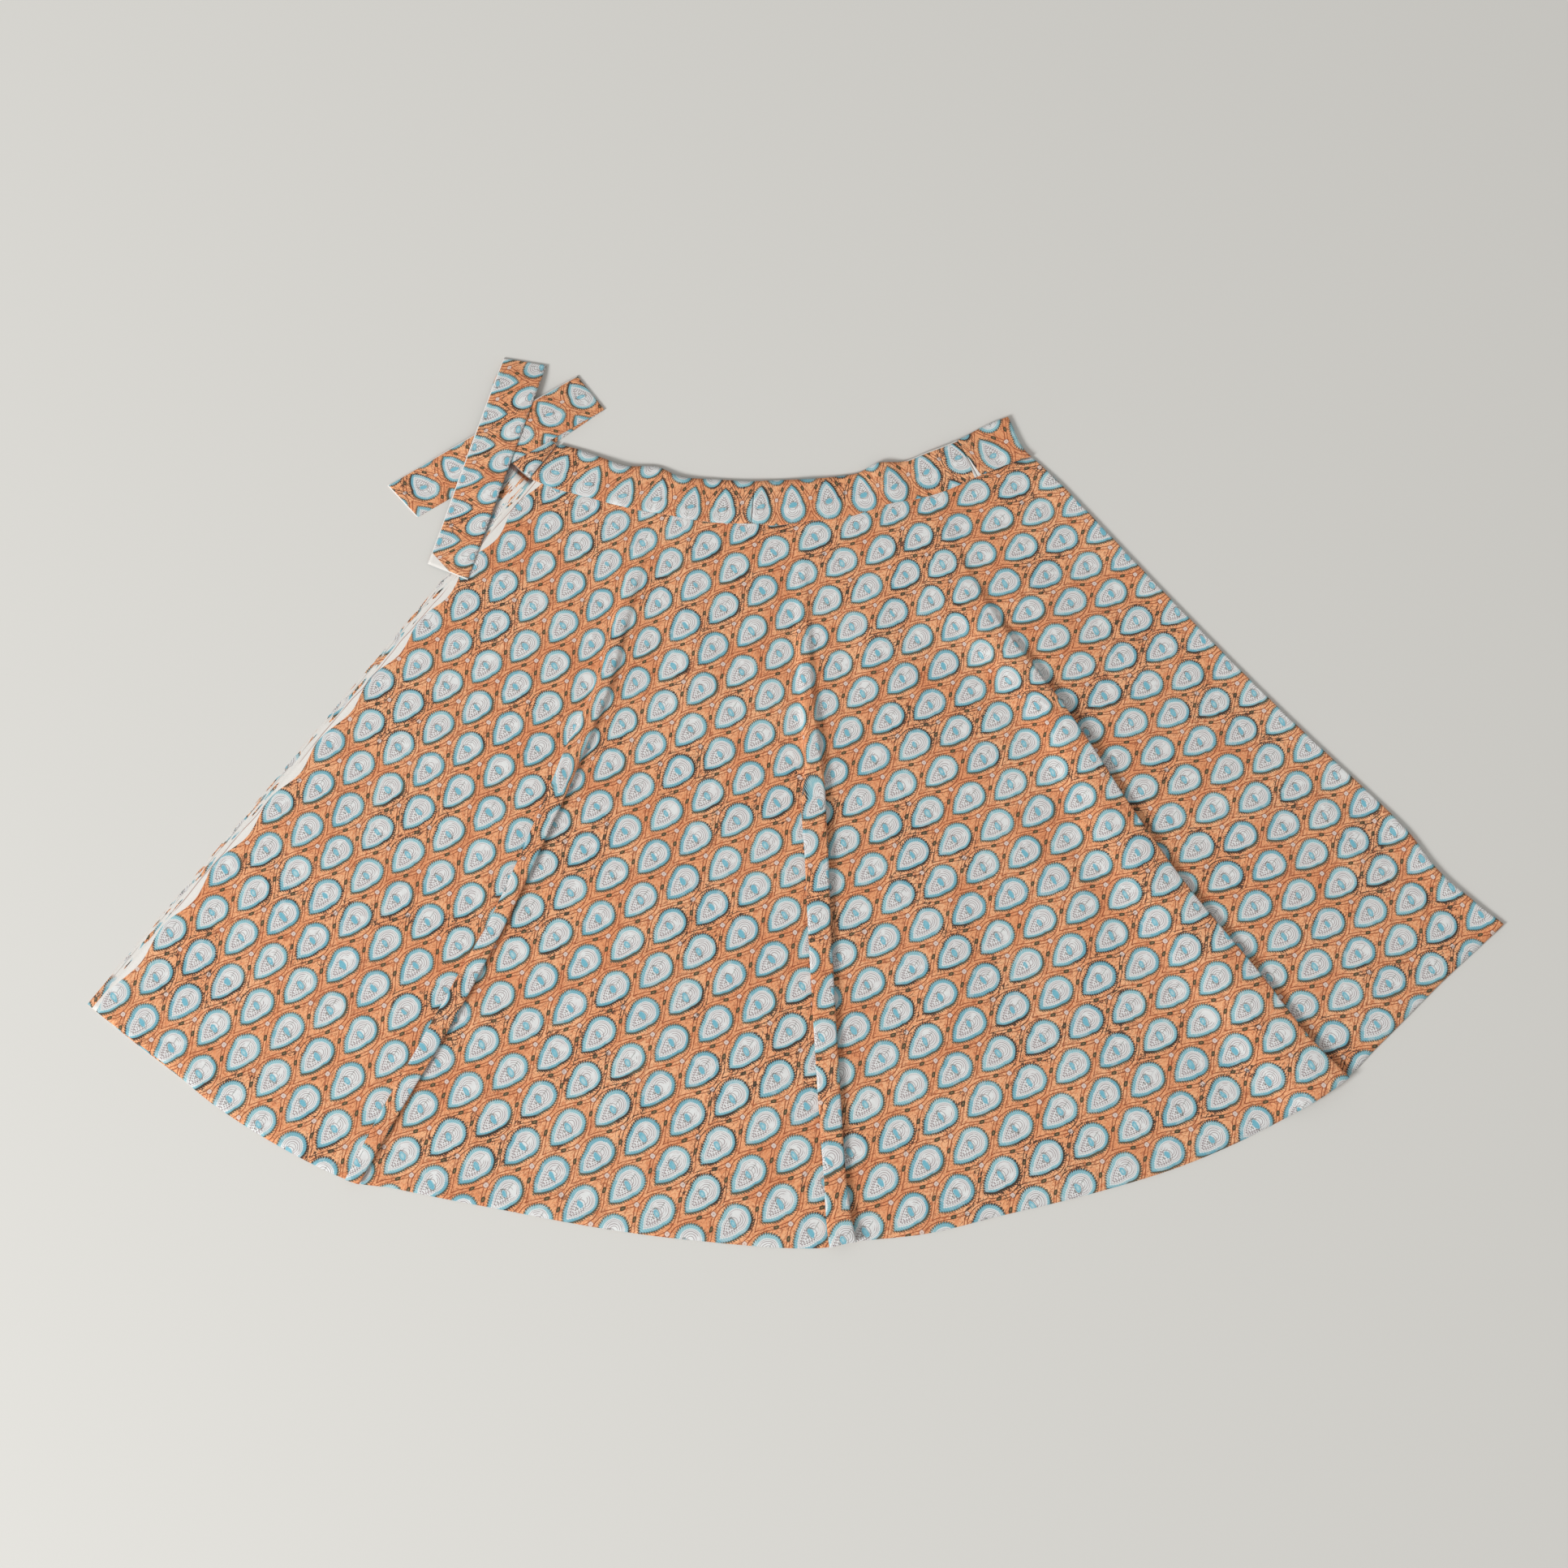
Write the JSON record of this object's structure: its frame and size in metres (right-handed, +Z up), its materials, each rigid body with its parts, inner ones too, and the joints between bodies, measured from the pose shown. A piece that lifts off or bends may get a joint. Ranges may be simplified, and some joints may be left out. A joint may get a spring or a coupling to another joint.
{
  "type": "wrap skirt",
  "caption": "Flared wrap skirt of block-printed cotton with a narrow waistband and tie ends, laid flat and folded in half.",
  "frame": {"origin": "middle of the underside's bounding box, on the surface that the skirt lies on", "axes": "+Z up out of the surface, +Y from the hem towards the waist, +X to the right as laid, towards the side fold"},
  "size_m": [1.4827, 0.9308, 0.0115],
  "materials": {
    "printed_cotton": "matte plain-weave cotton, orange ground with a repeating blue and white drop",
    "waistband_cotton": "matte plain-weave cotton, the same print turned to stand upright on the band",
    "tie_cotton": "matte plain-weave cotton, the same print along a doubled strip"
  },
  "bodies": {
    "root": {"panel_back": "printed_cotton", "panel_front": "printed_cotton", "waistband_back": "waistband_cotton", "waistband_left": "waistband_cotton", "waistband_middle": "waistband_cotton", "waistband_right": "waistband_cotton", "tie_lower": "tie_cotton", "tie_upper": "tie_cotton"}
  },
  "joints": []
}
